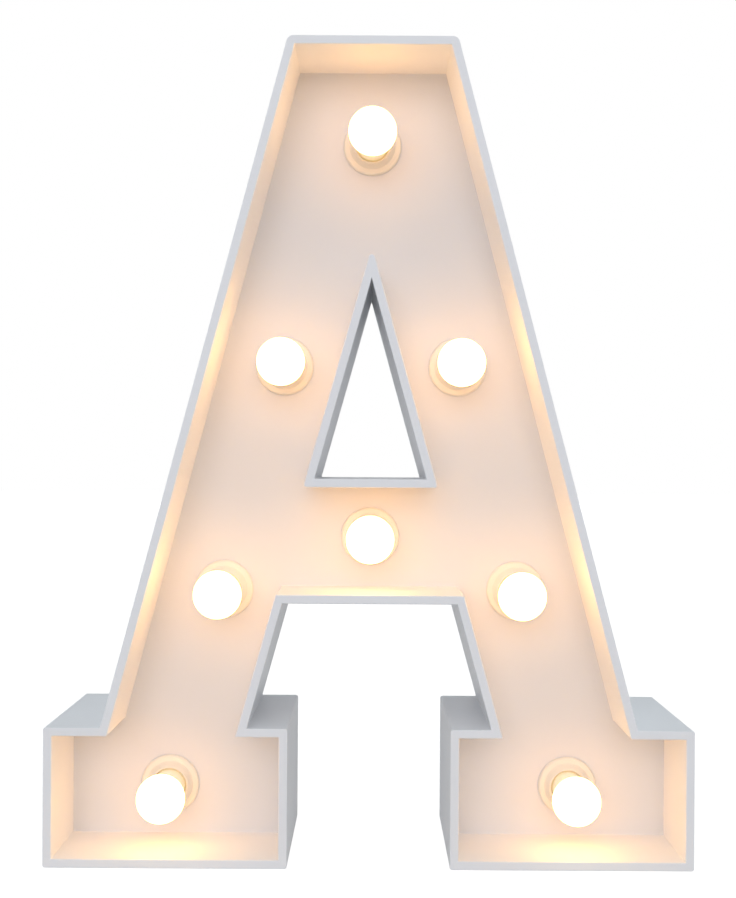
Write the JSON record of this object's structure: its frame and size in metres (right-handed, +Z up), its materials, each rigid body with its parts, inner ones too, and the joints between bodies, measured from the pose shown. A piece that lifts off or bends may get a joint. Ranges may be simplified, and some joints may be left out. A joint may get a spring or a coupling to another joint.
{
  "type": "light-up letter",
  "caption": "Free-standing light-up block letter: moulded tray with frosted globe bulbs, and a screwed back cover with hinged battery door, slide switch and hanging keyhole.",
  "frame": {"origin": "on the ground under the letter, midway across its width and its depth", "axes": "+Z up, +Y towards the back cover, so the bulbs face -Y, +X to the right seen from the front"},
  "size_m": [0.172, 0.045, 0.22],
  "materials": {
    "shell_plastic": "satin",
    "cover_plastic": "fine matt grain",
    "holder_plastic": "satin",
    "globe_plastic": "frosted, lit from inside",
    "led_epoxy": "clear, warm white",
    "contact_steel": "nickel plated",
    "screw_steel": "zinc plated",
    "cell_jacket": "plain printed film",
    "switch_case": "pressed sheet",
    "switch_knob": "moulded",
    "black_lead": "soft insulation",
    "red_lead": "soft insulation"
  },
  "bodies": {
    "letter": {"letter_shell": "shell_plastic", "back_cover": "cover_plastic", "cover_screws": "screw_steel", "battery_cell_1": "cell_jacket", "battery_cell_2": "cell_jacket", "contact_plus": "contact_steel", "contact_minus": "contact_steel", "contact_bridge": "contact_steel", "switch_body": "switch_case", "switch_terminals": "contact_steel", "wire_black": "black_lead", "wire_red": "red_lead", "wire_feed": "red_lead", "bulb_holder_1": "holder_plastic", "bulb_globe_1": "globe_plastic", "led_1": "led_epoxy", "bulb_holder_2": "holder_plastic", "bulb_globe_2": "globe_plastic", "led_2": "led_epoxy", "bulb_holder_3": "holder_plastic", "bulb_globe_3": "globe_plastic", "led_3": "led_epoxy", "bulb_holder_4": "holder_plastic", "bulb_globe_4": "globe_plastic", "led_4": "led_epoxy", "bulb_holder_5": "holder_plastic", "bulb_globe_5": "globe_plastic", "led_5": "led_epoxy", "bulb_holder_6": "holder_plastic", "bulb_globe_6": "globe_plastic", "led_6": "led_epoxy", "bulb_holder_7": "holder_plastic", "bulb_globe_7": "globe_plastic", "led_7": "led_epoxy", "bulb_holder_8": "holder_plastic", "bulb_globe_8": "globe_plastic", "led_8": "led_epoxy"},
    "battery_door": {"battery_door": "cover_plastic"},
    "switch_slider": {"switch_slider": "switch_knob"}
  },
  "joints": [
    {"name": "battery_door_hinge", "type": "hinge", "parent": "letter", "child": "battery_door", "pos_m": [0.02715, 0.021, 0.12944], "axis": [0.9666, 0, 0.2562], "range_deg": [0, 95]},
    {"name": "switch_slide", "type": "slide", "parent": "letter", "child": "switch_slider", "axis": [1, 0, 0], "range_m": [-0.004, 0]}
  ]
}
